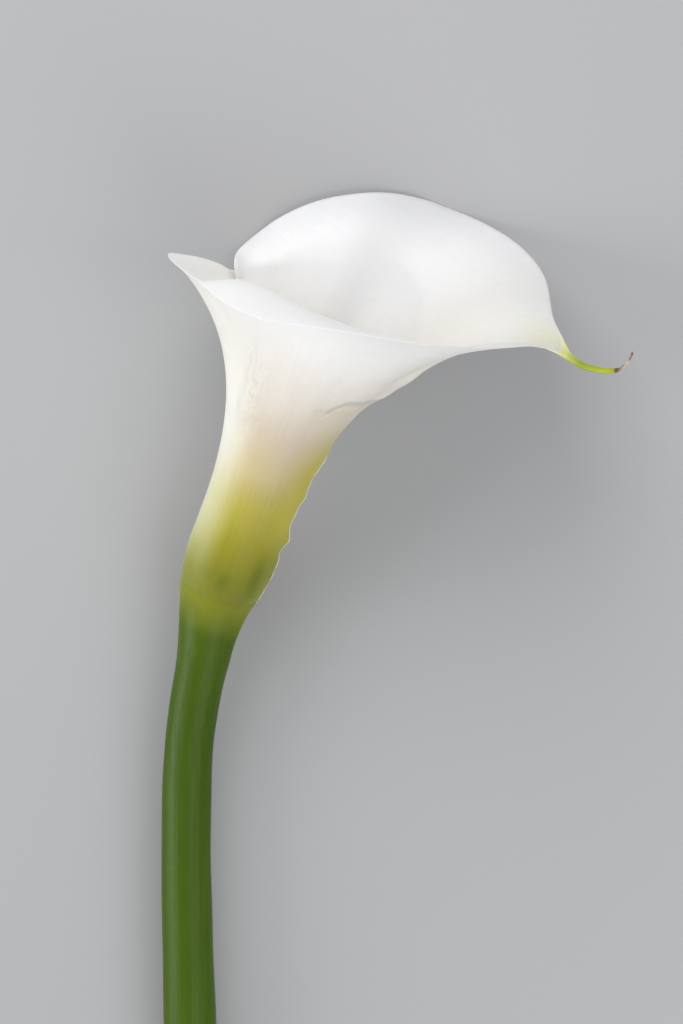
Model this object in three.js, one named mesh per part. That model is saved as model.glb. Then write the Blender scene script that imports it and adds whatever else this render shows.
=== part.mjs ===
// Calla lily: one cut flower lying on its side, in millimetres, +Z up.
// Pieces: the stem, the spathe (one sheet rolled into a funnel, its tail included) and the spadix.
// The flower is first shaped upright, then laid down on the foot of its stem and the rim of its lip.
import * as THREE from "three";

// ---- the spathe's tube ----
const headLean = 20.5; // degrees, how far the head leans to its back
const headNod = 18; // degrees, how far the head turns up from the surface it lies on
const headFoot = new THREE.Vector3(0.4, 4.7, 0); // where the head's axis starts
// half-width of the tube, outside, by height above its foot
const tubeProfile = [
  [-3, 9.4],
  [0, 10.5],
  [3, 11.3],
  [7, 11.9],
  [12, 12.1],
  [24, 12.1],
  [33, 12.4],
  [42, 13.6],
];
const tubeTop = 34; // height where the lip begins to open

// ---- the spathe's lip, station by station round the throat ----
// at: degrees round the axis. 0 is the front, where the edges overlap, 90 the side it lies on,
// 180 the back with the tail, 270 the upper side.
// reach: the margin's distance from the axis. rise: its height. flare: the way it points at the
// margin, in degrees from the axis. hold and roll: how long it keeps to the tube and how far
// the margin's own direction reaches back, as shares of its span.
const lipStations = [
  { at: 0, reach: 45.2, rise: 89.8, flare: 68, hold: 0.43, roll: 0.38 },
  { at: 22, reach: 43.2, rise: 89, flare: 62, hold: 0.43, roll: 0.35 },
  { at: 44, reach: 46, rise: 86.5, flare: 60, hold: 0.43, roll: 0.35 },
  { at: 56, reach: 52.2, rise: 84.8, flare: 62, hold: 0.43, roll: 0.35 },
  { at: 68, reach: 50, rise: 98.3, flare: 56, hold: 0.44, roll: 0.35 },
  { at: 90, reach: 49.5, rise: 111.2, flare: 54, hold: 0.44, roll: 0.35 },
  { at: 122, reach: 62, rise: 114.4, flare: 62, hold: 0.44, roll: 0.35 },
  { at: 150, reach: 62.3, rise: 113.6, flare: 74, hold: 0.42, roll: 0.35 },
  { at: 170, reach: 62, rise: 108.8, flare: 82, hold: 0.43, roll: 0.33 },
  { at: 180, reach: 65.5, rise: 103.6, flare: 84, hold: 0.42, roll: 0.33 },
  { at: 190, reach: 61, rise: 105.2, flare: 74, hold: 0.4, roll: 0.36 },
  { at: 215, reach: 59.5, rise: 108.4, flare: 54, hold: 0.36, roll: 0.44 },
  { at: 240, reach: 56, rise: 106.4, flare: 62, hold: 0.41, roll: 0.38 },
  { at: 270, reach: 51.5, rise: 101.6, flare: 90, hold: 0.49, roll: 0.43 },
  { at: 285, reach: 49, rise: 97.2, flare: 106, hold: 0.53, roll: 0.5 },
  { at: 300, reach: 47.5, rise: 95.2, flare: 112, hold: 0.54, roll: 0.52 },
  { at: 322, reach: 42.5, rise: 93, flare: 106, hold: 0.53, roll: 0.5 },
  { at: 342, reach: 39, rise: 90, flare: 84, hold: 0.47, roll: 0.42 },
];

// ---- how the sheet is rolled ----
const rollStart = -34; // degrees, the inner edge at the foot
const rollEnd = 552; // degrees, the outer edge at the foot
// share of each rib that the sheet covers near its two free edges
const innerEdge = [
  [-34, 0.1],
  [0, 0.34],
  [25, 0.6],
  [36, 0.64],
  [44, 0.72],
  [48, 0.8],
  [51, 0.9],
  [53, 0.97],
  [55.5, 1],
];
const outerEdge = [
  [362, 1],
  [372, 0.98],
  [400, 0.95],
  [430, 0.9],
  [460, 0.85],
  [485, 0.79],
  [505, 0.73],
  [520, 0.68],
  [530, 0.62],
  [536, 0.52],
  [540, 0.4],
  [544, 0.27],
  [548, 0.15],
  [552, 0.06],
];
const wrapStep = 1.7; // from the middle of one layer to the middle of the next
const footStep = 0.95; // the same at the foot, where the layers close up
const sheetThick = 1.2;
const footThick = 0.7;
const marginThick = 0.7;
const frillDepth = 0.6; // crimps of the outer edge down the back of the tube
const frillPitch = 11;
const frillStart = 9.5; // a height where the edge lies flat
const bellyDepth = 1.7; // how far the lip bags out under its back
const bellyWidth = 30; // degrees
const frillWidth = 8; // degrees that the crimps reach back from the edge

// ---- the tail at the back of the lip ----
const tailHalfAngle = 8; // degrees of the margin that run into the tail
// path beyond the margin: outwards, upwards, half-width
const tailPath = [
  [0, 0, 8.6],
  [2.2, -0.7, 5.6],
  [5.0, -1.6, 2.6],
  [8.0, -2.3, 1.7],
  [11.5, -2.0, 1.35],
  [15.0, -1.1, 1.1],
  [17.6, -0.2, 0.85],
  [19.0, 1.4, 0.7],
  [19.7, 3.4, 0.6],
  [20.0, 6.3, 0.55],
];
const tailThick = 1.0;
const tailFold = 55; // degrees that each side of the tail is folded up

// ---- the stem ----
const stemFoot = -165;
// height, sideways, depth, radius
const stemPath = [
  [-165, -5.4, -9.4, 7.6],
  [-140, -6.1, -7.3, 7.5],
  [-115, -6.7, -6.2, 7.4],
  [-90, -7.35, -5.7, 7.15],
  [-66, -7.8, -5.4, 7.0],
  [-50, -7.6, -5.0, 6.95],
  [-38, -6.95, -4.4, 6.9],
  [-28, -5.7, -3.5, 6.95],
  [-20, -4.3, -2.6, 7.05],
  [-12, -2.7, -1.6, 7.6],
  [-6, -1.8, -0.8, 8.2],
  [-1.5, -0.5, -0.3, 9.4],
];
const seatHeight = 6; // the seat that the stem's top sends up into the tube
const seatRadius = 6.4;

// ---- the spadix ----
const spadixFoot = 6.3; // height above the tube's foot
const spadixLength = 66;
const spadixRadius = 5.2;
const floretHeight = 0.45;

// ---- how it lies ----
const restPitch = 0.38; // degrees
const restRoll = -0.76; // degrees
const flatDepth = 0.25; // how much of its lowest points is worn flat

const degrees = Math.PI / 180;

// A smooth curve through [x, y] keys, level beyond its ends.
function through(keys, x) {
  const last = keys.length - 1;
  if (x <= keys[0][0]) return keys[0][1];
  if (x >= keys[last][0]) return keys[last][1];
  let k = 0;
  while (x > keys[k + 1][0]) k += 1;
  return hermite(keys, k, x, (i) => slopeAt(keys, i));
}

// The slope at key i, held level at a peak so that the curve never overshoots.
function slopeAt(keys, i) {
  const last = keys.length - 1;
  if (i === 0) return (keys[1][1] - keys[0][1]) / (keys[1][0] - keys[0][0]);
  if (i === last) return (keys[i][1] - keys[i - 1][1]) / (keys[i][0] - keys[i - 1][0]);
  const before = (keys[i][1] - keys[i - 1][1]) / (keys[i][0] - keys[i - 1][0]);
  const after = (keys[i + 1][1] - keys[i][1]) / (keys[i + 1][0] - keys[i][0]);
  if (before * after <= 0) return 0;
  return (2 * before * after) / (before + after);
}

function hermite(keys, k, x, slope) {
  const width = keys[k + 1][0] - keys[k][0];
  const t = (x - keys[k][0]) / width;
  const t2 = t * t;
  const t3 = t2 * t;
  return (
    (2 * t3 - 3 * t2 + 1) * keys[k][1] +
    (t3 - 2 * t2 + t) * width * slope(k) +
    (3 * t2 - 2 * t3) * keys[k + 1][1] +
    (t3 - t2) * width * slope(k + 1)
  );
}

// The same round the ring of lip stations, which has no ends.
function lipValue(name, turn) {
  const n = lipStations.length;
  const keys = [];
  for (let i = -2; i <= n + 2; i += 1) {
    const lap = Math.floor(i / n);
    const station = lipStations[i - lap * n];
    keys.push([station.at + 360 * lap, station[name]]);
  }
  const x = turn - 360 * Math.floor(turn / 360);
  let k = 1;
  while (x > keys[k + 1][0]) k += 1;
  const slope = (i) => {
    const stepIn = keys[i][0] - keys[i - 1][0];
    const stepOut = keys[i + 1][0] - keys[i][0];
    const before = (keys[i][1] - keys[i - 1][1]) / stepIn;
    const after = (keys[i + 1][1] - keys[i][1]) / stepOut;
    return (before * stepOut + after * stepIn) / (stepIn + stepOut);
  };
  return hermite(keys, k, x, slope);
}

function ease(from, to, x) {
  const t = THREE.MathUtils.clamp((x - from) / (to - from), 0, 1);
  return t * t * (3 - 2 * t);
}

// The head's own directions: up its axis, to its back, and to its upper side.
const lean = headLean * degrees;
const nod = headNod * degrees;
const axisUp = new THREE.Vector3(
  Math.sin(lean) * Math.cos(nod),
  Math.cos(lean) * Math.cos(nod),
  Math.sin(nod)
);
const toBack = new THREE.Vector3(Math.cos(lean), -Math.sin(lean), 0);
const toUpper = new THREE.Vector3().crossVectors(toBack, axisUp);

function headPoint(turn, radius, height) {
  const angle = turn * degrees;
  return headFoot
    .clone()
    .addScaledVector(axisUp, height)
    .addScaledVector(toBack, -radius * Math.cos(angle))
    .addScaledVector(toUpper, -radius * Math.sin(angle));
}

const tubeShare = 0.3; // share of a rib that lies in the tube

// A rib's radius and height at a share of its length, before the layers are stepped apart.
function ribPoint(turn, share) {
  const inset = wrapStep / 2 + sheetThick / 2;
  if (share < tubeShare) {
    const height = (tubeTop * share) / tubeShare;
    return [through(tubeProfile, height) - inset, height];
  }
  const foot = [through(tubeProfile, tubeTop) - inset, tubeTop];
  const tip = [lipValue("reach", turn), lipValue("rise", turn)];
  const flare = lipValue("flare", turn) * degrees;
  const span = Math.hypot(tip[0] - foot[0], tip[1] - foot[1]);
  const slope = (through(tubeProfile, tubeTop + 1) - through(tubeProfile, tubeTop - 1)) / 2;
  const out = span * lipValue("hold", turn);
  const back = span * lipValue("roll", turn);
  const first = [foot[0] + out * slope, foot[1] + out];
  const second = [tip[0] - back * Math.sin(flare), tip[1] - back * Math.cos(flare)];
  const t = (share - tubeShare) / (1 - tubeShare);
  const u = 1 - t;
  const weights = [u * u * u, 3 * u * u * t, 3 * u * t * t, t * t * t];
  return [0, 1].map(
    (i) => weights[0] * foot[i] + weights[1] * first[i] + weights[2] * second[i] + weights[3] * tip[i]
  );
}

function ribHeadPoint(turn, share) {
  const [radius, height] = ribPoint(turn, share);
  return headPoint(turn, radius, height);
}

// The outward normal of a surface that gives a point for a turn and a share.
function normalOf(surface, turn, share) {
  const across = surface(turn + 0.5, share).sub(surface(turn - 0.5, share));
  const along = surface(turn, share + 0.004).sub(surface(turn, share - 0.004));
  return along.cross(across).normalize();
}

// The middle of the sheet: each layer of the roll lies one step outside the one before.
function sheetPoint(turn, share) {
  const height = ribPoint(turn, share)[1];
  const step = footStep + (wrapStep - footStep) * ease(0, 15, height);
  const edge = edgeTurn(share);
  const nearEdge = Math.exp(-Math.max(0, edge - turn) / frillWidth) * ease(470, 520, turn);
  const frill = frillDepth * nearEdge * Math.sin((Math.PI * (height - frillStart)) / frillPitch) ** 2;
  const lift = (step * (turn - 180)) / 360 + frill + bellyAt(turn, share);
  return ribHeadPoint(turn, share).addScaledVector(normalOf(ribHeadPoint, turn, share), lift);
}

// The soft fold across the back of the lip and the bag above it.
function bellyAt(turn, share) {
  const offBack = turn - 360 * Math.floor(turn / 360) - 180;
  const across = Math.exp(-((offBack / bellyWidth) ** 2));
  return bellyDepth * across * ease(0.545, 0.62, share) * (1 - ease(0.64, 0.9, share));
}

// Where the outer edge stands at a share of a rib.
function edgeTurn(share) {
  const keys = outerEdge.map(([turn, reach]) => [-reach, turn]);
  return through(keys, -share);
}

function ribShare(turn) {
  if (turn < innerEdge[innerEdge.length - 1][0]) return through(innerEdge, turn);
  return through(outerEdge, turn);
}

function thicknessAt(share, top) {
  const fromFoot = footThick + (sheetThick - footThick) * ease(0, 0.14, share);
  return fromFoot + (marginThick - sheetThick) * ease(0.72, 1, share / top) * ease(0.2, 0.5, share);
}

// Columns of the sheet, closer together at its edges, its front point and its tail.
function sheetTurns() {
  const spans = [
    [rollStart, 44, 8],
    [44, 60, 8],
    [60, 180 - tailHalfAngle, 15],
    [180 - tailHalfAngle, 180 + tailHalfAngle, 6],
    [180 + tailHalfAngle, 330, 20],
    [330, 372, 9],
    [372, 404, 4],
    [404, 420, 5],
    [420, 526, 13],
    [526, rollEnd, 16],
  ];
  const turns = [rollStart];
  for (const [from, to, count] of spans) {
    for (let i = 1; i <= count; i += 1) turns.push(from + ((to - from) * i) / count);
  }
  return turns;
}

function sheetShares() {
  const rows = 23;
  const shares = [];
  for (let j = 0; j <= rows; j += 1) {
    const t = j / rows;
    shares.push(t + 0.06 * Math.sin(2 * Math.PI * t) / (2 * Math.PI));
  }
  return shares;
}

// The tail: the middle of the sheet and its normal, past the margin.
function tailPoint(turn, step) {
  const [outwards, upwards, halfWidth] = tailPath[step];
  const radius = lipStations.find((s) => s.at === 180).reach + outwards;
  const height = lipStations.find((s) => s.at === 180).rise + upwards;
  const folded = Math.min(tailFold * degrees, halfWidth / (1.2 * tailThick));
  const bend = Math.max(folded * ease(0, 3, step), 0.001);
  const fold = bend * ((turn - 180) / tailHalfAngle);
  const sideways = (halfWidth / bend) * Math.sin(fold);
  const raised = (halfWidth / bend) * (1 - Math.cos(fold));
  const before = tailPath[Math.max(step - 1, 0)];
  const after = tailPath[Math.min(step + 1, tailPath.length - 1)];
  const run = Math.hypot(after[0] - before[0], after[1] - before[1]);
  const tangent = [(after[0] - before[0]) / run, (after[1] - before[1]) / run];
  const middle = headPoint(180, radius - raised * tangent[1], height + raised * tangent[0]);
  middle.addScaledVector(toUpper, sideways);
  const normal = toBack
    .clone()
    .multiplyScalar(tangent[1] * Math.cos(fold))
    .addScaledVector(axisUp, -tangent[0] * Math.cos(fold))
    .addScaledVector(toUpper, Math.sin(fold));
  return { middle, normal };
}

// A thin solid from a sheet of cells: two skins split alike, joined by a wall round every edge.
function sheetSolid(innerPoints, outerPoints, cells) {
  const count = innerPoints.length;
  const positions = [...innerPoints, ...outerPoints].flatMap((p) => [p.x, p.y, p.z]);
  const index = [];
  const edges = new Map();
  const noteEdge = (a, b) => {
    if (!edges.delete(`${b},${a}`)) edges.set(`${a},${b}`, [a, b]);
  };
  for (const [a, b, c] of cells) {
    index.push(a, b, c, count + a, count + c, count + b);
    noteEdge(a, b);
    noteEdge(b, c);
    noteEdge(c, a);
  }
  for (const [a, b] of edges.values()) {
    index.push(b, a, count + a, b, count + a, count + b);
  }
  const geometry = new THREE.BufferGeometry();
  geometry.setAttribute("position", new THREE.Float32BufferAttribute(positions, 3));
  geometry.setIndex(index);
  return geometry;
}

function makeSpathe() {
  const turns = sheetTurns();
  const shares = sheetShares();
  const outer = [];
  const inner = [];
  const cells = [];
  const addPoint = (middle, normal, thick) => {
    outer.push(middle.clone().addScaledVector(normal, thick / 2));
    inner.push(middle.clone().addScaledVector(normal, -thick / 2));
    return outer.length - 1;
  };
  // a cell is split along its shorter diagonal, alike on both skins
  const addCell = (a, b, c, d) => {
    const shorter = outer[a].distanceTo(outer[c]) <= outer[b].distanceTo(outer[d]);
    if (shorter) cells.push([a, b, c], [a, c, d]);
    else cells.push([a, b, d], [b, c, d]);
  };
  const columns = turns.map((turn) => {
    const top = ribShare(turn);
    return shares.map((t) => {
      const share = t * top;
      const thick = thicknessAt(share, top);
      return addPoint(sheetPoint(turn, share), normalOf(sheetPoint, turn, share), thick);
    });
  });
  const rim = shares.length - 1;
  for (let i = 0; i + 1 < turns.length; i += 1) {
    for (let j = 0; j < rim; j += 1) {
      addCell(columns[i][j], columns[i + 1][j], columns[i + 1][j + 1], columns[i][j + 1]);
    }
  }
  const inTail = turns.map((turn) => Math.abs(turn - 180) < tailHalfAngle + 0.01);
  let previous = columns.map((column) => column[rim]);
  for (let step = 1; step < tailPath.length; step += 1) {
    const row = turns.map((turn, i) => {
      if (!inTail[i]) return -1;
      const { middle, normal } = tailPoint(turn, step);
      const blend = ease(0, 3, step);
      return addPoint(middle, normal, marginThick + (tailThick - marginThick) * blend);
    });
    for (let i = 0; i + 1 < turns.length; i += 1) {
      if (inTail[i] && inTail[i + 1]) addCell(previous[i], previous[i + 1], row[i + 1], row[i]);
    }
    previous = row;
  }
  return sheetSolid(inner, outer, cells);
}

// A round solid from rings of points, closed at both ends.
function ringSolid(rings, first, last) {
  const sides = rings[0].length;
  const points = [...rings.flat(), first, last];
  const bottom = points.length - 2;
  const top = points.length - 1;
  const index = [];
  for (let i = 0; i < sides; i += 1) {
    const next = (i + 1) % sides;
    index.push(bottom, next, i);
    for (let j = 0; j + 1 < rings.length; j += 1) {
      const low = j * sides;
      const high = low + sides;
      index.push(low + i, low + next, high + next, low + i, high + next, high + i);
    }
    const cap = (rings.length - 1) * sides;
    index.push(top, cap + i, cap + next);
  }
  const geometry = new THREE.BufferGeometry();
  geometry.setAttribute(
    "position",
    new THREE.Float32BufferAttribute(points.flatMap((p) => [p.x, p.y, p.z]), 3)
  );
  geometry.setIndex(index);
  return geometry;
}

function makeStem() {
  const sides = 32;
  const pathOf = (column) => stemPath.map((row) => [row[0], row[column]]);
  const centreAt = (y) => new THREE.Vector3(through(pathOf(1), y), y, through(pathOf(2), y));
  const rings = [];
  const lengthwise = 34;
  for (let j = 0; j <= lengthwise; j += 1) {
    const t = j / lengthwise;
    const y = stemFoot + (-1.5 - stemFoot) * (1 - (1 - t) ** 1.6);
    const centre = centreAt(y);
    const ahead = centreAt(y + 0.5).sub(centreAt(y - 0.5)).normalize();
    const blend = ease(-12, -1.5, y);
    const along = ahead.lerp(axisUp, blend).normalize();
    rings.push(ringAround(centre, along, through(pathOf(3), y), sides));
  }
  const seat = [
    [-0.6, through(tubeProfile, 0) - 0.6],
    [-0.6, seatRadius + 0.9],
    [0.6, seatRadius],
    [seatHeight, seatRadius - 0.6],
  ];
  for (const [height, radius] of seat) {
    rings.push(ringAround(headPoint(0, 0, height), axisUp, radius, sides));
  }
  const last = headPoint(0, 0, seatHeight);
  return ringSolid(rings, centreAt(stemFoot), last);
}

function ringAround(centre, along, radius, sides) {
  const side = toBack.clone().addScaledVector(along, -toBack.dot(along)).normalize();
  const up = new THREE.Vector3().crossVectors(side, along);
  const ring = [];
  for (let i = 0; i < sides; i += 1) {
    const angle = (2 * Math.PI * i) / sides;
    ring.push(
      centre
        .clone()
        .addScaledVector(side, radius * Math.cos(angle))
        .addScaledVector(up, -radius * Math.sin(angle))
    );
  }
  return ring;
}

// The spadix: a blunt finger set all over with small florets, each a raised corner of the mesh.
function makeSpadix() {
  const sides = 34;
  const rows = 56;
  const profile = [
    [0, 0.8],
    [0.12, 0.92],
    [0.45, 1],
    [0.8, 0.86],
    [0.93, 0.62],
    [1, 0.22],
  ];
  const rings = [];
  for (let j = 0; j <= rows; j += 1) {
    const t = j / rows;
    const height = spadixFoot + spadixLength * t;
    const ring = [];
    for (let i = 0; i < sides; i += 1) {
      const raised = (i + j) % 2 === 0 && j > 1 && j < rows ? floretHeight : 0;
      ring.push(headPoint((-360 * i) / sides, spadixRadius * through(profile, t) + raised, height));
    }
    rings.push(ring);
  }
  const tip = headPoint(0, 0, spadixFoot + spadixLength + 0.6);
  return ringSolid(rings, headPoint(0, 0, spadixFoot), tip);
}

// Laid down: turned to rest on its low points, which are worn flat.
function layDown(geometries) {
  const turn = new THREE.Matrix4()
    .makeRotationY(restRoll * degrees)
    .multiply(new THREE.Matrix4().makeRotationX(-restPitch * degrees));
  const box = new THREE.Box3();
  for (const geometry of geometries) {
    geometry.applyMatrix4(turn);
    geometry.computeBoundingBox();
    box.union(geometry.boundingBox);
  }
  const middle = box.getCenter(new THREE.Vector3());
  for (const geometry of geometries) {
    geometry.translate(-middle.x, -middle.y, -box.min.z - flatDepth);
    const points = geometry.getAttribute("position");
    for (let i = 0; i < points.count; i += 1) points.setZ(i, Math.max(points.getZ(i), 0));
  }
}

const pieces = [
  { name: "stem", geometry: makeStem(), colour: 0x5f7d26 },
  { name: "spathe", geometry: makeSpathe(), colour: 0xf4f2ea },
  { name: "spadix", geometry: makeSpadix(), colour: 0xe3b32c },
];
layDown(pieces.map((piece) => piece.geometry));

const group = new THREE.Group();
for (const { name, geometry, colour } of pieces) {
  const material = new THREE.MeshStandardMaterial({ color: colour, roughness: 0.5 });
  const mesh = new THREE.Mesh(geometry, material);
  mesh.name = name;
  group.add(mesh);
}

export default group;
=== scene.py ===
import math

import bpy
import numpy as np
from mathutils import Matrix, Vector


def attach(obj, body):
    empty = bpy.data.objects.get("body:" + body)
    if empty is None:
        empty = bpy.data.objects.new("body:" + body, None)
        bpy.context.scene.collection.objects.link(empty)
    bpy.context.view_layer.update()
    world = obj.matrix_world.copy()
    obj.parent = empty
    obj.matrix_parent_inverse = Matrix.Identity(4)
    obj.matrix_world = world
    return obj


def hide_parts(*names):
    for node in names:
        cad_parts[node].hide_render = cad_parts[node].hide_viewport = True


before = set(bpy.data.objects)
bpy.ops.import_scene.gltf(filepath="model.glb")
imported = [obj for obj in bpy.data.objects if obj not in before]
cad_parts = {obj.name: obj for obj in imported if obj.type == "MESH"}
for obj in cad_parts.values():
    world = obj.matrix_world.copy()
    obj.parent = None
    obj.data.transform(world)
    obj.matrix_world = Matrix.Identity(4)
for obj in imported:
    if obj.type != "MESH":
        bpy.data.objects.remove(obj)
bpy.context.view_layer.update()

scene = bpy.context.scene
scene.view_settings.view_transform = "Standard"
mm = 0.001
decimetre = 100  # millimetres

# the flower is shaped upright and then laid down on its stem's foot and its lip
lying = {
    "pitch": 0.38,  # degrees
    "roll": -0.76,
    "shift": (-51.1828, 23.4372, 15.9512),  # millimetres
    "clear": 0.02,  # the least that any point stands off the floor
}

head = {
    "lean": 20.5,  # degrees to its back
    "nod": 18.0,  # degrees up from the surface it lies on
    "foot": (0.4, 4.7, 0.0),
}


# curves and directions

def hermite(keyX, keyY, slope, x):
    k = np.clip(np.searchsorted(keyX, x, side="right") - 1, 0, len(keyX) - 2)
    width = keyX[k + 1] - keyX[k]
    t = (x - keyX[k]) / width
    low = (2 * t**3 - 3 * t**2 + 1) * keyY[k] + (t**3 - 2 * t**2 + t) * width * slope[k]
    return low + (3 * t**2 - 2 * t**3) * keyY[k + 1] + (t**3 - t**2) * width * slope[k + 1]


def through(keys, x):
    # a smooth curve through [x, y] keys that never overshoots, level beyond its ends
    keyX, keyY = np.array(keys, float).T
    rise = np.diff(keyY) / np.diff(keyX)
    slope = np.zeros(len(keyX))
    slope[0], slope[-1] = rise[0], rise[-1]
    before, after = rise[:-1], rise[1:]
    level = before * after <= 0
    total = np.where(level, 1, before + after)
    slope[1:-1] = np.where(level, 0, 2 * before * after / total)
    return hermite(keyX, keyY, slope, np.clip(x, keyX[0], keyX[-1]))


def ease(start, end, x):
    t = np.clip((x - start) / (end - start), 0, 1)
    return t * t * (3 - 2 * t)


def hump(x, middle, width):
    return np.exp(-(((x - middle) / width) ** 2))


lean, nod = math.radians(head["lean"]), math.radians(head["nod"])
axisUp = np.array((math.sin(lean) * math.cos(nod), math.cos(lean) * math.cos(nod), math.sin(nod)))
toBack = np.array((math.cos(lean), -math.sin(lean), 0.0))
toUpper = np.cross(toBack, axisUp)
headFoot = np.array(head["foot"])


def headPoint(turn, radius, height):
    angle = np.radians(turn)
    across = radius * np.cos(angle)
    upward = radius * np.sin(angle)
    return (
        headFoot
        + np.multiply.outer(height, axisUp)
        - np.multiply.outer(across, toBack)
        - np.multiply.outer(upward, toUpper)
    )


def headHeight(points):
    return (points - headFoot) @ axisUp


layTurn = (
    Matrix.Rotation(math.radians(lying["roll"]), 3, "Y")
    @ Matrix.Rotation(math.radians(-lying["pitch"]), 3, "X")
)


def layDown(points):
    laid = points @ np.array(layTurn).T + np.array(lying["shift"])
    laid[:, 2] = np.maximum(laid[:, 2], lying["clear"])
    return laid * mm


def unit(vectors):
    return vectors / np.linalg.norm(vectors, axis=-1, keepdims=True)


# mesh helpers

def newSheet(name, columns, rows):
    # a flat grid, with each corner's column and row
    bpy.ops.object.select_all(action="DESELECT")
    bpy.ops.mesh.primitive_grid_add(x_subdivisions=columns, y_subdivisions=rows, size=2)
    piece = bpy.context.object
    piece.name = piece.data.name = name
    spots = readPoints(piece)
    column = np.round((spots[:, 0] + 1) / 2 * columns).astype(int)
    row = np.round((spots[:, 1] + 1) / 2 * rows).astype(int)
    return piece, column, row


def readPoints(piece):
    spots = np.empty(len(piece.data.vertices) * 3)
    piece.data.vertices.foreach_get("co", spots)
    return spots.reshape(-1, 3)


def movePoints(piece, points):
    piece.data.vertices.foreach_set("co", np.asarray(points, float).ravel())
    piece.data.update()


def putNumbers(piece, **numbers):
    for name, values in numbers.items():
        layer = piece.data.attributes.get(name)
        if layer is None:
            layer = piece.data.attributes.new(name, "FLOAT", "POINT")
        layer.data.foreach_set("value", np.asarray(values, float))


def readNumbers(piece, name):
    values = np.empty(len(piece.data.vertices))
    piece.data.attributes[name].data.foreach_get("value", values)
    return values


def pick(piece):
    bpy.ops.object.select_all(action="DESELECT")
    piece.select_set(True)
    bpy.context.view_layer.objects.active = piece


def inEditMode(piece, *steps):
    pick(piece)
    bpy.ops.object.mode_set(mode="EDIT")
    bpy.ops.mesh.select_all(action="SELECT")
    for step in steps:
        step()
    bpy.ops.object.mode_set(mode="OBJECT")


def mergeDoubles(distance):
    # a piece is still in millimetres while it is being shaped
    return lambda: bpy.ops.mesh.remove_doubles(threshold=distance)


def turnOutward():
    bpy.ops.mesh.normals_make_consistent(inside=False)


def applyModifier(piece, kind, **settings):
    pick(piece)
    modifier = piece.modifiers.new(kind.title(), kind)
    for name, value in settings.items():
        setattr(modifier, name, value)
    bpy.ops.object.modifier_apply(modifier=modifier.name)


# material helpers

def shade(red, green, blue):
    # a screen colour, 0 to 255, as the shader wants it
    def linear(c):
        c /= 255
        return c / 12.92 if c <= 0.04045 else ((c + 0.055) / 1.055) ** 2.4
    return (linear(red), linear(green), linear(blue), 1.0)


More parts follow.
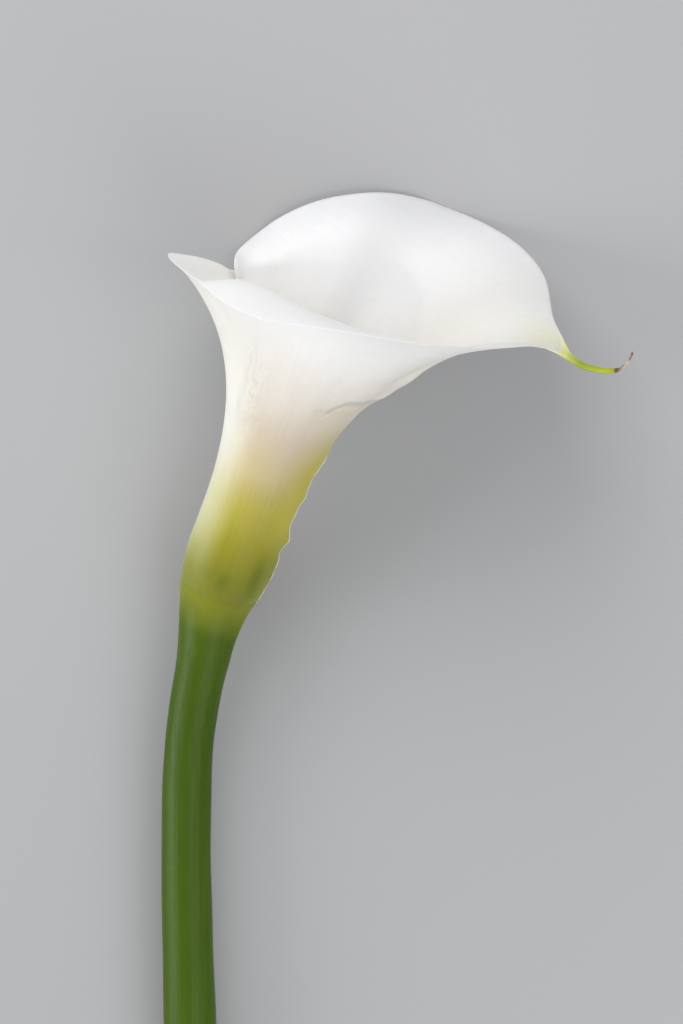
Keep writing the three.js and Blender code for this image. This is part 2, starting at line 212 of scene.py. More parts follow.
class Finish:
    # a material and the few nodes that every finish here is made of
    def __init__(self, name, roughness):
        self.material = bpy.data.materials.new(name)
        self.material.use_nodes = True
        self.tree = self.material.node_tree
        self.shader = self.tree.nodes["Principled BSDF"]
        self.shader.inputs["Roughness"].default_value = roughness
        self.column = -300

    def node(self, kind, **settings):
        made = self.tree.nodes.new(kind)
        made.location = (self.column, 300 - 60 * (len(self.tree.nodes) % 9))
        self.column -= 40
        for name, value in settings.items():
            setattr(made, name, value)
        return made

    def feed(self, socket, value):
        if isinstance(value, bpy.types.NodeSocket):
            self.tree.links.new(value, socket)
        else:
            socket.default_value = value

    def number(self, name):
        return self.node("ShaderNodeAttribute", attribute_name=name).outputs["Fac"]

    def place(self):
        return self.node("ShaderNodeTexCoord").outputs["Object"]

    def vector(self, x, y, z):
        joined = self.node("ShaderNodeCombineXYZ")
        for socket, value in zip(joined.inputs, (x, y, z)):
            self.feed(socket, value)
        return joined.outputs[0]

    def sums(self, operation, first, second=0.0):
        made = self.node("ShaderNodeMath", operation=operation)
        self.feed(made.inputs[0], first)
        self.feed(made.inputs[1], second)
        return made.outputs[0]

    def times(self, first, *others):
        for other in others:
            first = self.sums("MULTIPLY", first, other)
        return first

    def swayed(self, value, noise, amount):
        return self.sums("ADD", value, self.times(self.sums("SUBTRACT", noise, 0.5), amount))

    def stretched(self, *ways):
        # where a noise is read, with a scale of its own each way
        scaled = [self.times(value, scale) for value, scale in ways]
        return self.vector(*scaled, *[0.0] * (3 - len(ways)))

    def spread(self, value, start, end, low=0.0, high=1.0):
        made = self.node("ShaderNodeMapRange", interpolation_type="SMOOTHSTEP")
        self.feed(made.inputs["Value"], value)
        ends = (("From Min", start), ("From Max", end), ("To Min", low), ("To Max", high))
        for name, number in ends:
            made.inputs[name].default_value = number
        return made.outputs["Result"]

    def near(self, value, middle, reach):
        # one at the middle, down to nothing at the reach
        away = self.sums("ABSOLUTE", self.sums("SUBTRACT", value, middle))
        return self.spread(away, 0.0, reach, 1.0, 0.0)

    def noise(self, where, scale, detail=3.0, rough=0.5):
        made = self.node("ShaderNodeTexNoise")
        self.feed(made.inputs["Vector"], where)
        made.inputs["Scale"].default_value = scale
        made.inputs["Detail"].default_value = detail
        made.inputs["Roughness"].default_value = rough
        return made.outputs["Fac"]

    def ramp(self, value, stops, smooth=True):
        made = self.node("ShaderNodeValToRGB")
        band = made.color_ramp
        band.interpolation = "EASE" if smooth else "LINEAR"
        while len(band.elements) > 1:
            band.elements.remove(band.elements[-1])
        for i, (position, colour) in enumerate(stops):
            stop = band.elements[0] if i == 0 else band.elements.new(position)
            stop.position = position
            stop.color = shade(*colour)
        self.feed(made.inputs["Fac"], value)
        return made.outputs["Color"]

    def mixNumber(self, amount, first, second):
        made = self.node("ShaderNodeMix", data_type="FLOAT")
        self.feed(made.inputs["Factor"], amount)
        self.feed(made.inputs["A"], first)
        self.feed(made.inputs["B"], second)
        return made.outputs["Result"]

    def mix(self, amount, first, second, blend="MIX"):
        made = self.node("ShaderNodeMix", data_type="RGBA", blend_type=blend)
        self.feed(made.inputs["Factor"], amount)
        self.feed(made.inputs["A"], first)
        self.feed(made.inputs["B"], second)
        return made.outputs["Result"]

    def bump(self, height, strength, distance, under=None):
        made = self.node("ShaderNodeBump")
        made.inputs["Strength"].default_value = strength
        made.inputs["Distance"].default_value = distance
        self.feed(made.inputs["Height"], height)
        if under is not None:
            self.feed(made.inputs["Normal"], under)
        return made.outputs["Normal"]

    def glow(self, weight, scale, radius):
        self.shader.inputs["Subsurface Weight"].default_value = weight
        self.shader.inputs["Subsurface Scale"].default_value = scale
        self.shader.inputs["Subsurface Radius"].default_value = radius

    def wear(self, piece):
        piece.data.materials.clear()
        piece.data.materials.append(self.material)


# camera, light and floor

view = {
    "middle": (35.98, 28.0, 12.0),  # what the picture is centred on, beside the upright flower
    "height": 286.7,  # millimetres that the picture takes in
    "distance": 3.2,  # metres
}
sensor = 36.0  # millimetres
cameraData = bpy.data.cameras.new("lookingDown")
cameraData.sensor_width = sensor
cameraData.lens = sensor * view["distance"] / (view["height"] * mm)
cameraData.clip_end = 20
camera = bpy.data.objects.new("lookingDown", cameraData)
scene.collection.objects.link(camera)
viewMiddle = Vector(np.array(layTurn) @ np.array(view["middle"]) + np.array(lying["shift"])) * mm
camera.matrix_world = (
    Matrix.Translation(viewMiddle + layTurn @ Vector((0, 0, view["distance"])))
    @ layTurn.to_4x4()
)
scene.camera = camera

light = {
    "key": 5.3,  # watts, from high beyond the flower's head
    "rim": 22.0,  # from far out on the side away from the tail
    "fill": 4.0,  # from over the stem, on the tail's side
    "sky": 0.53,
    "aim": (-0.01, 0.02, 0.03),  # metres, in the middle of the flower
}


def softLight(name, place, size, power, colour):
    lamp = bpy.data.lights.new(name, "AREA")
    lamp.shape = "RECTANGLE"
    lamp.size, lamp.size_y = size
    lamp.energy = power
    lamp.color = colour
    holder = bpy.data.objects.new(name, lamp)
    scene.collection.objects.link(holder)
    holder.location = place
    aim = Vector(light["aim"]) - Vector(place)
    holder.rotation_euler = aim.to_track_quat("-Z", "Y").to_euler()


softLight("keyLight", (-0.35, 0.8, 0.7), (0.7, 0.7), light["key"], (1.0, 0.985, 0.96))
softLight("rimLight", (-2.0, 0.0, 0.6), (0.5, 1.6), light["rim"], (1.0, 1.0, 1.0))
softLight("fillLight", (0.45, -0.35, 0.8), (0.8, 0.8), light["fill"], (1.0, 0.99, 0.98))

world = bpy.data.worlds.new("studio")
world.use_nodes = True
world.node_tree.nodes["Background"].inputs["Color"].default_value = (0.98, 0.985, 1.0, 1.0)
world.node_tree.nodes["Background"].inputs["Strength"].default_value = light["sky"]
scene.world = world

bpy.ops.object.select_all(action="DESELECT")
bpy.ops.mesh.primitive_plane_add(size=6, location=(0, 0, 0))
floor = bpy.context.object
floor.name = "floor"
floorFinish = Finish("paperFloor", 0.9)
floorFinish.shader.inputs["Base Color"].default_value = shade(172, 173, 175)
floorFinish.wear(floor)
print("camera, lights and floor are set")

# the spathe: one sheet rolled into a funnel

spathe = {
    # height, radius
    "tube": [(-3, 9.9), (0, 11), (3, 11.8), (7, 12.3), (12, 12.3), (24, 12.2), (33, 12.4), (42, 13.6)],
    "tubeTop": 34,  # height where the lip begins to open
    "tubeShare": 0.3,  # share of a rib below that height
    # the margin, station by station round the throat, in degrees from the front:
    # its distance from the axis, its height and how far the sheet there leans outwards
    "at": [0, 22, 44, 56, 68, 90, 122, 150, 170, 180, 190, 215, 240, 270, 285, 300, 322, 342],
    "reach": [45.2, 43.2, 46, 52.2, 50, 49.5, 62, 62.3, 62, 65.5, 61, 59.5, 56, 51.5, 49, 47.5, 42.5, 39],
    "rise": [
        89.8, 89, 86.5, 84.8, 98.3, 111.2, 114.4, 113.6, 108.8,
        103.6, 105, 107.6, 105.4, 100.3, 95.8, 94.2, 92.6, 90,
    ],
    "flare": [68, 62, 60, 62, 56, 54, 62, 74, 82, 84, 75, 60, 74, 99, 114, 120, 116, 88],
    # how long each rib keeps the line of the tube, and the line of the margin, as shares of its span
    "hold": [
        0.43, 0.43, 0.43, 0.43, 0.44, 0.44, 0.44, 0.42, 0.43,
        0.42, 0.4, 0.36, 0.41, 0.49, 0.53, 0.54, 0.53, 0.47,
    ],
    "roll": [
        0.38, 0.35, 0.35, 0.35, 0.35, 0.35, 0.35, 0.35, 0.33,
        0.33, 0.36, 0.44, 0.38, 0.43, 0.5, 0.52, 0.5, 0.42,
    ],
    # share of each rib that the sheet covers near its two free edges, by turn
    "innerEdge": [
        (-34, 0.1), (0, 0.34), (25, 0.6), (36, 0.64), (44, 0.72), (48, 0.8), (51, 0.9),
        (53.5, 0.955), (56.5, 0.983), (60, 0.995), (64, 1),
    ],
    "outerEdge": [
        (362, 1), (372, 0.98), (400, 0.95), (430, 0.9), (460, 0.85), (485, 0.79), (505, 0.73),
        (520, 0.68), (528, 0.62), (532, 0.52), (534, 0.4), (536, 0.27), (538, 0.15), (541, 0.06),
    ],
    "wrapStep": 1.7,  # from one layer to the next
    "footStep": 0.95,  # the same at the foot
    "stepGrows": 15,  # height by which the one has become the other
    "cadSheet": 1.2,  # thickness in the solid part
    "sheet": 0.85,  # thickness here, at the foot and at the margin
    "footSheet": 0.5,
    "margin": 0.3,
    "footShare": 0.14,  # share of a rib over which it thickens
    "edgeThins": 16,  # degrees over which it thins to its free edge
    "belly": 1.3,  # how far the lip bags out under its back
    "bellyWidth": 30,  # degrees
    "bellySpan": (0.545, 0.62, 0.64, 0.9),  # shares where it starts, is full, sinks and ends
    "lobe": 0.55,  # two small swellings on it
    "lobes": [(0.585, 0.018), (0.65, 0.022)],  # share, half width
    # crimps of the outer edge: height up the tube, half length, how far they stand out
    "crimps": [
        (4, 6, 0.5), (11, 2, 0.7), (15.4, 2, 0.9), (22.2, 1.9, 1.9), (25, 2, 0.6), (30.5, 3, 0.8),
        (36, 2.2, 1.7), (40.5, 2, 0.9), (44.5, 1.4, 1.1), (47.8, 1.4, 2.0), (51.5, 1.3, 1.4),
        (59, 5.5, -0.7), (66, 3, -0.8), (73.5, 3, 0.35), (80, 3, 0.3),
    ],
    "crimpWidth": 9,  # degrees
    "layerGap": 0.03,  # left between the free edge and the layer under it
    "tuckWidth": 24,  # degrees
    # olive spots low on the tube: turn, height in decimetres, half width, half height
    "spots": [(0.742, 0.078, 0.035, 0.045), (0.6, 0.1, 0.055, 0.11)],
    "rows": 54,
    "rowDrift": 0.06,  # packs the rows towards the middle of a rib
    "flapFrom": 505,  # past this the columns follow the outer edge
    "flapColumns": 26,
    "edgeScale": 0.25,  # millimetres for a degree, near the outer edge
    "edgeReach": 40,  # millimetres, as far from it as is worth telling
}
tail = {
    "halfAngle": 8,  # degrees of the margin that run into it, to each side
    "path": [
        # step, outwards, upwards, half-width
        (0, 0, 0, 8.6), (1, 1, -1, 5.8), (2, 3, -2, 3), (3, 5.5, -2.6, 1.8), (4, 9, -3, 1.5),
        (5, 13, -2.4, 1.35), (6, 16.5, -1.2, 1.2), (6.25, 17.2, -0.9, 0.4), (7, 18.5, 0.5, 0.5),
        (8, 19.8, 3, 0.5), (9, 20, 6, 0.35),
    ],
    "steps": 9,  # of the path
    "thick": 1.25,  # past its root
    "fold": 55,  # degrees that each half is bent up
    "joined": 2.4,  # step by which it has left the margin's own line
    "driesFrom": 6,  # step where it begins to thin
    "shrivelled": (6.2, 7.0),  # steps over which its end starts to waver
    "shrivel": 0.34,
    "rows": 34,
    # pale, lime, then a dry brown thread
    "colours": [
        (0.0, (243, 242, 226)), (0.1, (236, 236, 202)), (0.2, (220, 222, 152)),
        (0.3, (186, 194, 92)), (0.42, (158, 170, 48)), (0.6, (168, 182, 36)),
        (0.672, (160, 172, 44)), (0.7, (112, 86, 66)), (0.76, (164, 130, 108)),
        (0.86, (214, 190, 150)), (0.93, (176, 130, 108)), (1.0, (128, 84, 72)),
    ],
}


def lipValue(name, turn):
    at = np.array(spathe["at"], float)
    values = np.array(spathe[name], float)
    keyX = np.concatenate([at - 360, at, at + 360])
    keyY = np.tile(values, 3)
    step = np.diff(keyX)
    rise = np.diff(keyY) / step
    slope = np.zeros(len(keyX))
    slope[1:-1] = (rise[:-1] * step[1:] + rise[1:] * step[:-1]) / (step[:-1] + step[1:])
    return hermite(keyX, keyY, slope, np.mod(turn, 360))


def ribPoint(turn, share):
    inset = spathe["wrapStep"] / 2 + spathe["cadSheet"] / 2
    top, tube = spathe["tubeTop"], spathe["tube"]
    low = top * share / spathe["tubeShare"]
    footRadius = through(tube, top) - inset
    slope = (through(tube, top + 1) - through(tube, top - 1)) / 2
    tipRadius, tipHeight = lipValue("reach", turn), lipValue("rise", turn)
    flare = np.radians(lipValue("flare", turn))
    span = np.hypot(tipRadius - footRadius, tipHeight - top)
    out = span * lipValue("hold", turn)
    back = span * lipValue("roll", turn)
    t = np.clip((share - spathe["tubeShare"]) / (1 - spathe["tubeShare"]), 0, 1.05)
    u = 1 - t
    weights = (u**3, 3 * u * u * t, 3 * u * t * t, t**3)
    radii = (footRadius, footRadius + out * slope, tipRadius - back * np.sin(flare), tipRadius)
    heights = (top, top + out, tipHeight - back * np.cos(flare), tipHeight)
    lipRadius = sum(w * r for w, r in zip(weights, radii))
    lipHeight = sum(w * h for w, h in zip(weights, heights))
    inTube = share < spathe["tubeShare"]
    return np.where(inTube, through(tube, low) - inset, lipRadius), np.where(inTube, low, lipHeight)


def ribHeadPoint(turn, share):
    radius, height = ribPoint(turn, share)
    return headPoint(turn, radius, height)


def normalOf(surface, turn, share):
    across = surface(turn + 0.5, share) - surface(turn - 0.5, share)
    along = surface(turn, share + 0.004) - surface(turn, share - 0.004)
    return unit(np.cross(along, across))


def edgeTurn(share):
    return through([(-reach, turn) for turn, reach in spathe["outerEdge"]], -share)


def crimpAt(turn, height, share):
    # the free edge is crimped, and the layer under it rises to meet it
    edge = edgeTurn(share)
    under = turn < 300
    fromEdge = edge - np.where(under, turn + 360, turn)
    nearEdge = np.exp(-np.abs(fromEdge) / spathe["crimpWidth"])
    wave = sum(out * hump(height, at, half) for at, half, out in spathe["crimps"])
    step = stepAt(height)
    gap = step - sheetThickness(turn, share) / 2 - spathe["margin"] / 2 - spathe["layerGap"]
    tuck = np.where(under, gap * hump(fromEdge, 0, spathe["tuckWidth"]), 0)
    return (wave * nearEdge + tuck) * ease(430, 490, edge) * np.where(under, 1, ease(425, 490, turn))


def bellyAt(turn, share):
    # the bag across the back of the lip, with its two swellings
    across = hump(np.mod(turn, 360), 180, spathe["bellyWidth"])
    start, full, sinks, end = spathe["bellySpan"]
    bag = spathe["belly"] * ease(start, full, share) * (1 - ease(sinks, end, share))
    return across * (bag + spathe["lobe"] * sum(hump(share, at, half) for at, half in spathe["lobes"]))


def stepAt(height):
    grown = ease(0, spathe["stepGrows"], height)
    return spathe["footStep"] + (spathe["wrapStep"] - spathe["footStep"]) * grown


def liftAt(turn, share):
    # how far the middle of the sheet stands off the plain funnel
    height = ribPoint(turn, share)[1]
    thinned = (spathe["cadSheet"] - spathe["sheet"]) / 2 * ease(0, spathe["footShare"], share)
    layered = stepAt(height) * (turn - 180) / 360
    return layered + thinned + crimpAt(turn, height, share) + bellyAt(turn, share)


def sheetPoint(turn, share):
    return ribHeadPoint(turn, share) + liftAt(turn, share)[:, None] * normalOf(ribHeadPoint, turn, share)


def sheetThickness(turn, share, top=1):
    grown = ease(0, spathe["footShare"], share)
    thick = spathe["footSheet"] + (spathe["sheet"] - spathe["footSheet"]) * grown
    # it thins towards its margin and its free edge
    thin = ease(0.8, 1, share / top) * ease(0.2, 0.5, share)
    thin = np.maximum(thin, ease(spathe["edgeThins"], 0, edgeTurn(share) - turn))
    return thick + (spathe["margin"] - thick) * thin


def ribTop(turn):
    # the sheet begins at its inner edge and ends at its outer one
    inner, outer = through(spathe["innerEdge"], turn), through(spathe["outerEdge"], turn)
    return np.where(turn < 90, inner, outer)


def tailPoint(turn, step):
    keys = np.array(tail["path"], float)
    outwards, upwards, halfWidth = (through(keys[:, (0, i)], step) for i in (1, 2, 3))
    ahead, behind = np.minimum(step + 0.2, tail["steps"]), np.maximum(step - 0.2, 0)
    runOut = through(keys[:, (0, 1)], ahead) - through(keys[:, (0, 1)], behind)
    runUp = through(keys[:, (0, 2)], ahead) - through(keys[:, (0, 2)], behind)
    length = np.hypot(runOut, runUp)
    runOut, runUp = runOut / length, runUp / length
    folded = np.minimum(math.radians(tail["fold"]), halfWidth / (1.2 * tail["thick"]))
    bend = np.maximum(folded * ease(0, 3, step), 0.001)
    fold = bend * (turn - 180) / tail["halfAngle"]
    sideways = halfWidth / bend * np.sin(fold)
    raised = halfWidth / bend * (1 - np.cos(fold))
    radius = lipValue("reach", 180) + outwards - raised * runUp
    height = lipValue("rise", 180) + upwards + raised * runOut
    return headPoint(np.full_like(step, 180.0), radius, height) + np.multiply.outer(sideways, toUpper)


def sheetTurns():
    # from, to, columns: closest where the sheet bends most
    spans = [
        (-34, 44, 16), (44, 66, 18), (66, 172, 32), (172, 188, 16), (188, 330, 40),
        (330, 420, 22), (420, spathe["flapFrom"], 18),
    ]
    turns = [spans[0][0]]
    for start, end, count in spans:
        turns += [start + (end - start) * i / count for i in range(1, count + 1)]
    return np.array(turns, float)


def shapeSheet(piece, turn, share, top):
    movePoints(piece, sheetPoint(turn, share))
    fromEdge = np.clip((edgeTurn(share) - turn) * spathe["edgeScale"], 0, spathe["edgeReach"])
    none = np.zeros(len(turn))
    thick = sheetThickness(turn, share, top)
    putNumbers(piece, turn=turn / 360, share=share, tail=none, thick=thick, fromEdge=fromEdge)


def makeSpathe():
    turns = sheetTurns()
    rows = spathe["rows"]
    spaced = np.arange(rows + 1) / rows
    spaced = spaced + spathe["rowDrift"] * np.sin(2 * np.pi * spaced) / (2 * np.pi)
    piece, column, row = newSheet("spatheSheet", len(turns) - 1, rows)
    top = ribTop(turns[column])
    shapeSheet(piece, turns[column], spaced[row] * top, top)

    # the flap: from one column to the outer edge, whichever way that runs
    flap, column, row = newSheet("spatheFlap", spathe["flapColumns"], rows)
    start = spathe["flapFrom"]
    top = ribTop(np.array([start]))[0]
    share = spaced[row] * top
    across = 1 - (1 - column / spathe["flapColumns"]) ** 1.3
    turn = start + np.maximum(edgeTurn(share) - start, 0) * across
    shapeSheet(flap, turn, share, np.full(len(turn), top))

    # the tail carries on from the margin at the back
    columns = turns[np.abs(turns - 180) < tail["halfAngle"] + 0.1]
    end, column, row = newSheet("tailStrip", len(columns) - 1, tail["rows"])
    turn = columns[column]
    step = tail["steps"] * (row / tail["rows"]) ** 0.9
    margin = sheetPoint(turn, np.ones(len(turn)))
    start = tailPoint(turn, np.zeros(len(turn)))
    leaving = 1 - ease(0, tail["joined"], step)
    points = tailPoint(turn, step) + (margin - start) * leaving[:, None]
    shrivel = ease(*tail["shrivelled"], step) * tail["shrivel"]
    points += (shrivel * np.sin(step * 9.0 + turn))[:, None] * toUpper
    points += (shrivel * np.cos(step * 13.0))[:, None] * toBack
    movePoints(end, points)
    thick = spathe["margin"] + (tail["thick"] - spathe["margin"]) * ease(0, 3, step)
    thick *= 1 - 0.35 * ease(tail["driesFrom"], tail["steps"], step)
    ones = np.ones(len(turn))
    putNumbers(end, turn=turn / 360, share=ones, tail=step / tail["steps"])
    putNumbers(end, thick=thick, fromEdge=ones * spathe["edgeReach"])

    pick(piece)
    flap.select_set(True)
    end.select_set(True)
    bpy.ops.object.join()
    inEditMode(piece, mergeDoubles(0.0005))
    addWall(piece)
    applyModifier(piece, "SUBSURF", levels=1, render_levels=1)
    points = readPoints(piece)
    putNumbers(piece, along=headHeight(points) / decimetre)
    movePoints(piece, layDown(points))
    pick(piece)
    bpy.ops.object.shade_smooth()
    return piece


def addWall(piece):
    # thickness goes half to each side; the sheet thins towards its margin
    thick = readNumbers(piece, "thick")
    group = piece.vertex_groups.new(name="thick")
    most = float(thick.max())
    for i, value in enumerate(thick):
        group.add([i], value / most, "REPLACE")
    applyModifier(
        piece, "SOLIDIFY", thickness=most, offset=0, use_rim=True,
        vertex_group="thick", thickness_vertex_group=0,
    )
    piece.vertex_groups.clear()


# colours from the foot of the stem to the lip, by height in millimetres along the head
lengthColours = [
    (-165, (65, 94, 2)), (-40, (58, 84, 2)), (-10, (68, 92, 6)), (0, (130, 135, 40)),
    (9, (128, 130, 18)), (20, (155, 150, 32)), (31, (182, 172, 74)), (41, (202, 188, 142)),
    (55, (210, 198, 180)), (70, (228, 223, 216)), (85, (246, 244, 240)), (100, (253, 252, 250)),
]


def lengthRamp(f, along, where):
    blot = f.noise(where, 75, 3, 0.5)
    first, last = lengthColours[0][0], lengthColours[-1][0]
    level = f.sums("SUBTRACT", f.swayed(along, blot, 0.07), first / decimetre)
    level = f.sums("DIVIDE", level, (last - first) / decimetre)
    stops = [((at - first) / (last - first), colour) for at, colour in lengthColours]
    return f.ramp(level, stops, smooth=False)


petalFinish = Finish("petal", 0.5)


def makePetalFinish(f):
    where = f.place()
    turn, along, share = f.number("turn"), f.number("along"), f.number("share")
    # streaks follow the ribs, and drift a little
    lines = f.noise(f.stretched((turn, 70), (along, 2.2)), 1.0, 4, 0.6)
    blot = f.noise(where, 75, 3, 0.5)
    streaked = f.swayed(along, lines, 0.06)
    body = lengthRamp(f, f.mixNumber(f.spread(along, 0.02, 0.1), along, streaked), where)
    # the midrib keeps its yellow up the back, and again just before the tail
    offRib = f.sums("ABSOLUTE", f.sums("SUBTRACT", f.sums("FRACT", turn), 0.5))
    rib = f.spread(offRib, 0.02, 0.19, 1.0, 0.0)
    low = f.spread(along, 0.42, 0.7, 0.95, 0.0)
    ribBody = f.mix(f.spread(along, 0.12, 0.3), shade(130, 136, 24), shade(190, 178, 62))
    body = f.mix(f.times(rib, low), body, ribBody)
    # painted light: the front of the tube stays paler, painted for the glow of the side light through it
    glowFront = f.times(f.spread(turn, 0.78, 0.95), f.spread(along, 0.03, 0.3))
    glowFront = f.times(glowFront, f.spread(along, 0.58, 0.85, 0.85, 0.0))
    paintedGlow = f.mix(f.spread(along, 0.28, 0.5), shade(214, 216, 184), shade(240, 240, 232))
    body = f.mix(glowFront, body, paintedGlow)
    for at, height, wide, tall in spathe["spots"]:
        spot = f.times(f.near(turn, at, wide), f.near(along, height, tall))
        spot = f.times(spot, f.spread(blot, 0.3, 0.6, 0.5, 0.9))
        body = f.mix(spot, body, shade(100, 113, 4))
    nearTail = f.spread(share, 0.86, 1.0, 0.0, 0.75)
    narrow = f.spread(offRib, 0.004, 0.032, 1.0, 0.0)
    body = f.mix(f.times(narrow, nearTail), body, shade(236, 236, 196))
    # painted shade: the back of the lip is painted a shade deeper than its front, for the shade on its
    # inner face
    shadedBack = f.times(f.spread(offRib, 0.02, 0.16, 1.0, 0.0), f.spread(share, 0.5, 0.75))
    body = f.mix(shadedBack, body, shade(241, 240, 236), "MULTIPLY")
    # fine veins, a shade deeper
    veins = f.noise(f.stretched((turn, 420), (along, 3.0)), 1.0, 2, 0.5)
    veinLine = f.spread(veins, 0.5, 0.72)
    body = f.mix(f.times(veinLine, 0.05), body, shade(222, 214, 196), "MULTIPLY")
    # a crease runs round from the back, under the bag of the lip; painted shade darkens the band just below
    # it
    offCrease = f.sums("SUBTRACT", along, f.spread(turn, 0.61, 0.645, 0.7, 0.655))
    creased = f.times(f.spread(turn, 0.485, 0.53), f.spread(turn, 0.6, 0.68, 1.0, 0.0))
    crease = f.times(creased, f.near(offCrease, 0.0, 0.024))
    shadeBelow = f.times(f.spread(offCrease, -0.07, -0.005), f.spread(offCrease, -0.004, 0.008, 1.0, 0.0))
    body = f.mix(f.times(shadeBelow, creased, 0.4), body, shade(208, 192, 162))
    # the crimped free edge is paler, in patches: partly its own paler tissue, partly painted highlight on
    # the crimps and painted light against the shade under the edge
    atEdge = f.spread(f.number("fromEdge"), 0.1, 1.3, 1.0, 0.0)
    tintAndGlint = f.spread(f.noise(where, 420, 2, 0.5), 0.35, 0.6, 0.25, 1.0)
    lowEdge = f.spread(along, 0.5, 0.7, 0.75, 0.0)
    body = f.mix(f.times(atEdge, tintAndGlint, lowEdge), body, shade(238, 230, 200))
    inTail = f.number("tail")
    tailBody = f.ramp(f.swayed(inTail, blot, 0.08), tail["colours"])
    body = f.mix(f.spread(inTail, 0.0, 0.1), body, tailBody)
    f.feed(f.shader.inputs["Base Color"], body)
    fine = f.noise(where, 1700, 2, 0.6)
    f.feed(f.shader.inputs["Roughness"], f.spread(fine, 0.2, 0.8, 0.42, 0.56))
    skin = f.bump(fine, 0.12, 0.0003)
    skin = f.bump(veins, 0.06, 0.0005, skin)
    # crinkles over the lip, strongest in one patch at the front of it
    crinkle = f.noise(f.stretched((turn, 30), (along, 21)), 1.0, 3, 0.55)
    inTurn = f.times(f.spread(turn, 0.8, 0.86), f.spread(turn, 0.9, 0.96, 1.0, 0.0))
    inHeight = f.times(f.spread(along, 0.52, 0.6), f.spread(along, 0.72, 0.8, 1.0, 0.0))
    depth = f.sums("ADD", f.times(f.spread(along, 0.4, 0.6), 0.25), f.times(inTurn, inHeight))
    skin = f.bump(f.times(crinkle, depth), 0.35, 0.004, skin)
    f.feed(f.shader.inputs["Normal"], f.bump(f.times(crease, -1.0), 0.5, 0.0018, skin))
    f.shader.inputs["Specular IOR Level"].default_value = 0.35
    f.shader.inputs["Sheen Weight"].default_value = 0.3
    f.shader.inputs["Sheen Roughness"].default_value = 0.35
    f.glow(0.75, 0.0018, (1.0, 0.95, 0.8))


makePetalFinish(petalFinish)
spatheSheet = makeSpathe()
petalFinish.wear(spatheSheet)
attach(spatheSheet, "root")
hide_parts("spathe")
print("the spathe is rolled:", len(spatheSheet.data.polygons), "faces")

# the stem

stem = {
    "foot": -165,
    # height, sideways, depth, radius
    "path": [
        (-165, -5.4, -9.4, 7.6), (-140, -6.1, -7.3, 7.5), (-115, -6.7, -6.2, 7.4), (-90, -7.35, -5.7, 7.15),
        (-66, -7.8, -5.4, 7.0), (-50, -7.6, -5.0, 6.95), (-38, -6.95, -4.4, 6.9), (-28, -5.7, -3.5, 6.95),
        (-20, -4.3, -2.6, 7.05), (-12, -2.7, -1.6, 7.6), (-6, -1.8, -0.8, 8.1), (-1.5, -0.5, -0.3, 9.5),
    ],
    "sides": 120,
    "cutRings": 7,  # across the cut end
    "cutSink": 0.3,  # how far its middle is sunk
    "cutRim": (0.05, 0.25),  # how far its last two rings are rounded back
    "rings": 96,
    "blendFrom": -12,  # height where the stem begins to spread into the sheet
    "blendRings": 26,
    "cuffRings": 6,  # its skin runs a little way up over the foot of the sheet
    "cuff": 0.022,  # as a share of a rib
    "cuffLift": 0.03,  # off the sheet
    "freeEdge": 540.9,  # turn of the sheet's free edge there
    "smoothed": (181, 211),  # turns past that edge over which its step is evened out
    "seat": [(1.2, 9), (0.8, 6.6), (3, 6.2), (5.6, 5.9), (6.2, 4), (6.25, 0)],  # height, radius
    "ridges": 17,  # faint lengthwise ridges
    "ridgeDepth": 0.018,
    "swell": 0.05,  # slow unevenness of the radius
}


def stemCentre(y):
    path = np.array(stem["path"], float)
    return np.stack([through(path[:, (0, 1)], y), y, through(path[:, (0, 2)], y)], axis=-1)


def stemSkin(angle, y, share, sink):
    centre = stemCentre(y)
    along = unit(stemCentre(y + 0.5) - stemCentre(y - 0.5))
    side = unit(toBack - (along @ toBack)[:, None] * along)
    up = np.cross(side, along)
    radius = through(np.array(stem["path"], float)[:, (0, 3)], y)
    ridge = stem["ridgeDepth"] * np.sin(stem["ridges"] * angle + 0.6 * np.sin(3 * angle))
    swell = stem["swell"] * np.sin(y * 0.21 + 2 * np.sin(angle)) + stem["swell"] * np.sin(y * 0.083 + angle)
    radius = (radius + (ridge + swell) * ease(stem["blendFrom"], stem["blendFrom"] - 12, y)) * share
    around = (radius * np.cos(angle))[:, None] * side - (radius * np.sin(angle))[:, None] * up
    return centre + around + sink[:, None] * along


def outsideAt(turn, share):
    return liftAt(turn, share) + sheetThickness(turn, share) / 2


def sheetSkin(angle, share):
    # the outside of the outermost layer; the step at its free edge is evened out at the foot
    start, end = stem["smoothed"]
    turn = 540 - np.degrees(angle)
    turn = np.where(turn < start, turn + 360, turn)
    share = share + 0 * turn
    over = np.clip(share / stem["cuff"], 0, 1)
    past = 1 - (1 - ease(start, end, turn)) * (1 - over)
    outside = outsideAt(stem["freeEdge"] + 0 * turn, share) * (1 - past) + outsideAt(turn, share) * past
    outside = (outside + stem["cuffLift"] * (1 - 2 * over))[:, None]
    return ribHeadPoint(turn, share) + outside * normalOf(ribHeadPoint, turn, share)


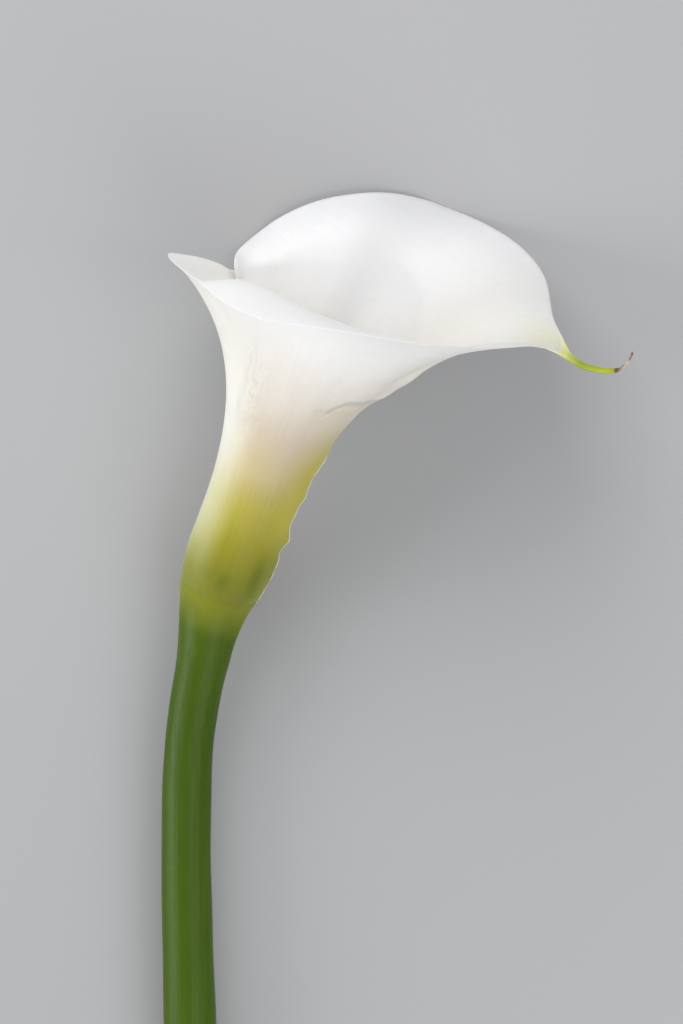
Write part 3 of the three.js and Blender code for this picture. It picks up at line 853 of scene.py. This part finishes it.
def makeStem():
    sides, cutRings, rings = stem["sides"], stem["cutRings"], stem["rings"]
    blendRings, cuffRings = stem["blendRings"], stem["cuffRings"]
    seat = np.array(stem["seat"], float)
    rows = cutRings + rings + blendRings + cuffRings
    piece, column, row = newSheet("stemStalk", sides, rows + len(seat))
    angle = 2 * np.pi * (column % sides) / sides
    none, whole = np.zeros(len(row)), np.ones(len(row))
    # the cut end is a shade rounded at its rim and sunk a little in the middle
    cutShare = np.sin(np.clip(row / cutRings, 0, 1) * np.pi / 2) ** 0.9
    sink = stem["cutSink"] * (1 - cutShare**2)
    for ring, back in zip((cutRings - 1, cutRings), stem["cutRim"]):
        sink = sink + np.where(row == ring, back, 0)
    t = np.clip((row - cutRings) / rings, 0, 1)
    y = stem["foot"] + (stem["blendFrom"] - stem["foot"]) * t
    points = stemSkin(angle, y, cutShare, np.where(row <= cutRings, sink, 0))
    # it spreads into the foot of the sheet without a step
    s = np.clip((row - cutRings - rings) / blendRings, 0, 1)[:, None]
    low = stemSkin(angle, none + stem["blendFrom"], whole, none)
    high = sheetSkin(angle, none)
    reach = np.linalg.norm(high - low, axis=1, keepdims=True)
    lowWay = unit(low - stemSkin(angle, none + stem["blendFrom"] - 0.5, whole, none)) * reach
    highWay = unit(sheetSkin(angle, none + 0.01) - high) * reach
    spread = (2 * s**3 - 3 * s**2 + 1) * low + (s**3 - 2 * s**2 + s) * lowWay
    spread += (3 * s**2 - 2 * s**3) * high + (s**3 - s**2) * highWay
    points = np.where(s > 0, spread, points)
    over = np.clip((row - cutRings - rings - blendRings) / cuffRings, 0, 1)
    points = np.where(over[:, None] > 0, sheetSkin(angle, stem["cuff"] * over), points)
    # inside the tube it closes into the seat that the spadix stands on
    inside = np.clip(row - rows - 1, 0, len(seat) - 1)
    closing = headPoint(540 - np.degrees(angle), seat[inside, 1], seat[inside, 0])
    points = np.where(row[:, None] > rows, closing, points)
    movePoints(piece, points)
    putNumbers(piece, onCut=np.clip(cutRings - row, 0, 1))
    inEditMode(piece, mergeDoubles(0.01), turnOutward)
    points = readPoints(piece)
    putNumbers(piece, along=headHeight(points) / decimetre)
    movePoints(piece, layDown(points))
    pick(piece)
    bpy.ops.object.shade_smooth_by_angle(angle=math.radians(40))
    return piece


stalkFinish = Finish("stalk", 0.42)


def makeStalkFinish(f):
    where = f.place()
    along = f.number("along")
    split = f.node("ShaderNodeSeparateXYZ")
    f.feed(split.inputs[0], where)
    x, y, z = split.outputs
    # long fibres lie along the stem
    lines = f.noise(f.stretched((x, 900), (y, 14), (z, 900)), 1.0, 3, 0.6)
    blot = f.noise(where, 45, 3, 0.5)
    body = lengthRamp(f, along, where)
    fibres = f.spread(along, -0.02, -0.1)
    body = f.mix(f.times(fibres, f.spread(lines, 0.45, 0.75, 0.0, 0.25)), body, shade(92, 116, 24))
    body = f.mix(f.times(fibres, f.spread(blot, 0.5, 0.8, 0.0, 0.3)), body, shade(54, 78, 0))
    # the cut end: pale wet pith dotted with darker bundles
    pith = f.noise(where, 1500, 2, 0.5)
    pithBody = f.mix(f.spread(pith, 0.5, 0.68), shade(196, 204, 142), shade(134, 150, 78))
    body = f.mix(f.spread(f.number("onCut"), 0.35, 0.8), body, pithBody)
    f.feed(f.shader.inputs["Base Color"], body)
    fine = f.noise(where, 1400, 2, 0.6)
    f.feed(f.shader.inputs["Roughness"], f.spread(fine, 0.2, 0.8, 0.34, 0.5))
    skin = f.bump(fine, 0.1, 0.0003)
    f.feed(f.shader.inputs["Normal"], f.bump(f.times(lines, fibres), 0.14, 0.0005, skin))
    f.shader.inputs["Specular IOR Level"].default_value = 0.18
    f.shader.inputs["Sheen Weight"].default_value = 0.15
    f.shader.inputs["Sheen Roughness"].default_value = 0.2
    f.glow(0.25, 0.003, (0.6, 1.0, 0.3))


makeStalkFinish(stalkFinish)
stemStalk = makeStem()
stalkFinish.wear(stemStalk)
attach(stemStalk, "root")
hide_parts("stem")
print("the stem is drawn:", len(stemStalk.data.polygons), "faces")

# the spadix

spadix = {
    "foot": 6.3,
    "length": 66,
    "radius": 5.2,
    "tip": 0.012,  # share of the length that its end rounds off in
    # share of the length, share of the radius
    "profile": [(0, 0.8), (0.12, 0.92), (0.45, 1), (0.8, 0.86), (0.93, 0.62), (1, 0.22)],
    "floretsRound": 20,
    "floretRows": 76,
    "floret": 0.5,  # how far a floret stands out
    "sides": 200,
    "rings": 400,
}


def makeSpadix():
    sides, rings = spadix["sides"], spadix["rings"]
    piece, column, row = newSheet("spadixFinger", sides, rings)
    t = row / rings
    angle = 2 * np.pi * column / sides
    # florets in slanting rows, each a small dome
    lane = t * spadix["floretRows"]
    turnOver = angle / (2 * np.pi) * spadix["floretsRound"]
    first = np.cos(np.pi * (turnOver + lane / 2)) ** 2
    second = np.cos(np.pi * (turnOver - lane / 2)) ** 2
    dome = np.sqrt(np.clip(first * second, 0, 1))
    bead = spadix["floret"] * dome * ease(0.0, 0.04, t) * ease(1.0, 0.97, t)
    rounded = np.sqrt(np.clip((1 - t) / spadix["tip"], 0, 1))
    radius = spadix["radius"] * through(spadix["profile"], t) * rounded
    radius = np.where(t <= 0, 0, radius + bead)
    height = spadix["foot"] + spadix["length"] * t + 0.5 * bead * ease(0.9, 1, t)
    points = headPoint(np.degrees(angle), radius, height)
    movePoints(piece, points)
    putNumbers(piece, bead=dome, along=t)
    inEditMode(piece, mergeDoubles(0.005), turnOutward)
    movePoints(piece, layDown(readPoints(piece)))
    pick(piece)
    bpy.ops.object.shade_smooth()
    return piece


pollenFinish = Finish("pollen", 0.75)


def makePollenFinish(f):
    where = f.place()
    bead = f.number("bead")
    grain = f.noise(where, 2600, 3, 0.6)
    body = f.ramp(f.swayed(bead, grain, 0.3), [
        (0.0, (168, 116, 14)),
        (0.35, (214, 160, 26)),
        (1.0, (240, 198, 66)),
    ])
    body = f.mix(f.spread(f.noise(where, 120, 2, 0.5), 0.45, 0.75, 0.0, 0.3), body, shade(222, 164, 40))
    f.feed(f.shader.inputs["Base Color"], body)
    f.feed(f.shader.inputs["Roughness"], f.spread(grain, 0.2, 0.8, 0.62, 0.85))
    f.feed(f.shader.inputs["Normal"], f.bump(grain, 0.35, 0.0002))
    f.glow(0.2, 0.002, (1.0, 0.8, 0.3))


makePollenFinish(pollenFinish)
spadixFinger = makeSpadix()
pollenFinish.wear(spadixFinger)
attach(spadixFinger, "root")
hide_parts("spadix")
print("the spadix is set with florets:", len(spadixFinger.data.polygons), "faces")
